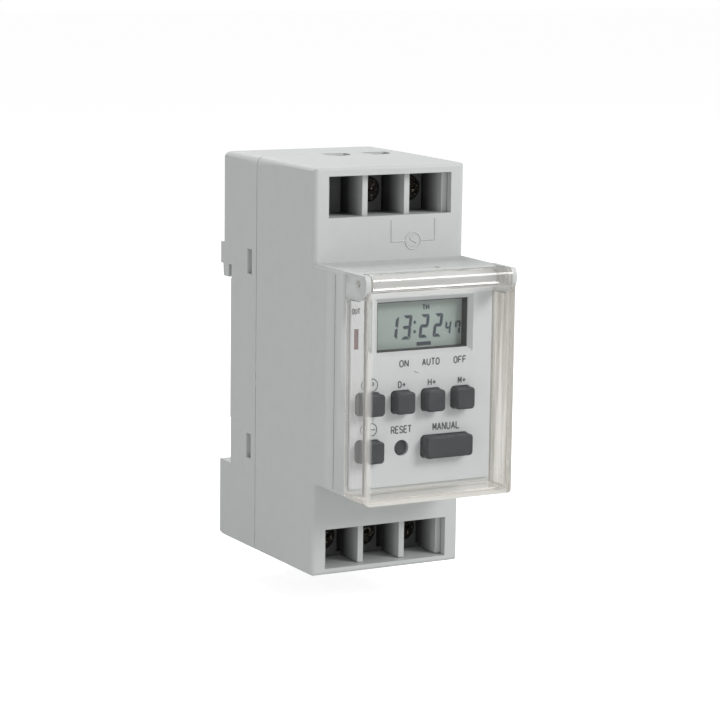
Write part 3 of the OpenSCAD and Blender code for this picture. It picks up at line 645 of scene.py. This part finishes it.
# What the display shows: time of day, seconds, weekday, and the bar over AUTO
LCD_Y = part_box("lcd_display")[0][1] / MM
DIGITS = [
    ("1", (-6.6, 8.35), (-4.4, 13.15), 0.6), ("3", (-3.86, 8.3), (-1.26, 13.2), 0.6),
    ("2", (0.26, 8.4), (2.81, 13.2), 0.6), ("2", (3.58, 8.4), (6.02, 13.2), 0.6),
    ("4", (6.4, 8.7), (8.0, 11.55), 0.36), ("7", (8.68, 8.65), (10.24, 11.4), 0.36),
]
shown = []
for digit, low, high, stroke in DIGITS:
    shown += segment_faces(digit, low, high, stroke)
for z in (9.75, 11.7):
    shown.append([(-0.98, z - 0.27), (-0.46, z - 0.27), (-0.40, z + 0.27), (-0.92, z + 0.27)])
shown.append([(-0.16, 6.85), (3.15, 6.85), (3.15, 7.52), (-0.16, 7.52)])
shown += word_faces("TH", (0.99, 14.16), (2.65, 15.3), 0.2)
add_piece("display_segments", polygons(shown, LCD_Y - 0.04), "housing", segment_ink)
# Painted shadow that the segments cast on the reflector behind them: a half-clear copy, shifted right and
# down
SHADOW_X, SHADOW_Z = 0.14, -0.16
cast = [[(x + SHADOW_X, z + SHADOW_Z) for x, z in outline] for outline in shown]
add_piece("display_shadow", polygons(cast, LCD_Y - 0.02), "housing", segment_shadow)

# Wiring sign moulded into the upper shoulder: a load between two terminals
SIGN_X, SIGN_Z, FACE_Y, RELIEF = 5.5, 26.8, -38.6, 0.17
LOAD_R, WAVE_W, WAVE_H = 1.8, 0.75, 1.1
LEAD_REACH, LEAD_TOP = 5.2, 31.3
round_load = [(SIGN_X + LOAD_R * math.cos(t), FACE_Y, SIGN_Z + LOAD_R * math.sin(t))
              for t in (math.radians(a) for a in range(0, 361, 10))]
wave = [(SIGN_X + WAVE_W * math.sin(math.radians(a)), FACE_Y, SIGN_Z + WAVE_H * (a / 180 - 1))
        for a in range(0, 361, 15)]
leads = [[(SIGN_X + side * LEAD_REACH, FACE_Y, LEAD_TOP), (SIGN_X + side * LEAD_REACH, FACE_Y, SIGN_Z),
          (SIGN_X + side * LOAD_R, FACE_Y, SIGN_Z)] for side in (-1, 1)]
relief = [raised_line(path, RELIEF) for path in (round_load, wave, *leads)]
add_piece("wiring_sign", joined(relief), "housing", materials["grey_shell"])

# Flash that the mould left in the seam on the left side
SEAM_X, SEAM_Y = -17.93, -12.72
seam_flash = [
    raised_line([(SEAM_X, SEAM_Y, low), (SEAM_X - 0.03, SEAM_Y + 0.06, (low + high) / 2),
                 (SEAM_X, SEAM_Y + 0.02, high)], 0.1)
    for low, high in ((-3.1, -1.9), (-6.6, -4.9))]
add_piece("seam_flash", joined(seam_flash), "housing", materials["grey_shell"])

# ---------------------------------------------------------------- stage and light

FLOOR_Z = -51.0


def softbox(name, place, size, power):
    """A square soft light that faces the object; the place is in millimetres from the object's frame."""
    data = bpy.data.lights.new(name, "AREA")
    data.shape, data.size, data.energy = "SQUARE", size * MM, power
    light = bpy.data.objects.new(name, data)
    at = Vector(place) * MM
    light.matrix_world = Matrix.Translation(at) @ (at - AIM).to_track_quat("Z", "Y").to_matrix().to_4x4()
    bpy.context.scene.collection.objects.link(light)


def bounces(tree):
    """How often light was scattered or mirrored: none when seen straight or through the clear cover."""
    path = tree.nodes.new("ShaderNodeLightPath")
    total = tree.nodes.new("ShaderNodeMath")
    total.operation = "ADD"
    tree.links.new(path.outputs["Diffuse Depth"], total.inputs[0])
    tree.links.new(path.outputs["Glossy Depth"], total.inputs[1])
    return total.outputs[0]


def make_floor():
    """A plain sheet below the reach of the rail clip: white with a faint shadow, dim in reflections."""
    mesh = bpy.data.meshes.new("floor")
    shape = bmesh.new()
    place = Matrix.Translation((0, 0, FLOOR_Z * MM))
    bmesh.ops.create_grid(shape, x_segments=2, y_segments=2, size=3, matrix=place)
    shape.to_mesh(mesh)
    shape.free()
    floor = bpy.data.objects.new("floor", mesh)
    bpy.context.scene.collection.objects.link(floor)
    made, tree, shader = start_material("floor_white")
    paper = blend(tree, noise(tree, 40, 2), (0.50, 0.50, 0.50), (0.52, 0.52, 0.52))
    path = tree.nodes.new("ShaderNodeLightPath")
    shade = blend(tree, path.outputs["Is Glossy Ray"], paper, (0.1, 0.1, 0.1))
    tree.links.new(shade, shader.inputs["Base Color"])
    shader.inputs["Roughness"].default_value = 0.9
    shader.inputs["Emission Color"].default_value = (1, 1, 1, 1)
    tree.links.new(between(tree, bounces(tree), 0.82, 0.15, (0, 1)), shader.inputs["Emission Strength"])
    mesh.materials.append(made)


def make_world(seen, lit):
    """White all round: at full where seen straight or through the clear cover, dimmer as light."""
    world = bpy.data.worlds.new("studio")
    bpy.context.scene.world = world
    world.use_nodes = True
    tree = world.node_tree
    background = tree.nodes["Background"]
    background.inputs["Color"].default_value = (1, 1, 1, 1)
    tree.links.new(between(tree, bounces(tree), seen, lit, (0, 1)), background.inputs["Strength"])


make_world(1.0, 0.3)
make_floor()
softbox("top_box", (0, 330, 560), 420, 3.4)
softbox("key_box", (400, -560, 420), 300, 3.3)
softbox("side_box", (-640, -120, 160), 380, 0.68)
softbox("front_box", (-120, -700, 120), 300, 0.35)
bpy.context.scene.view_settings.view_transform = "Standard"
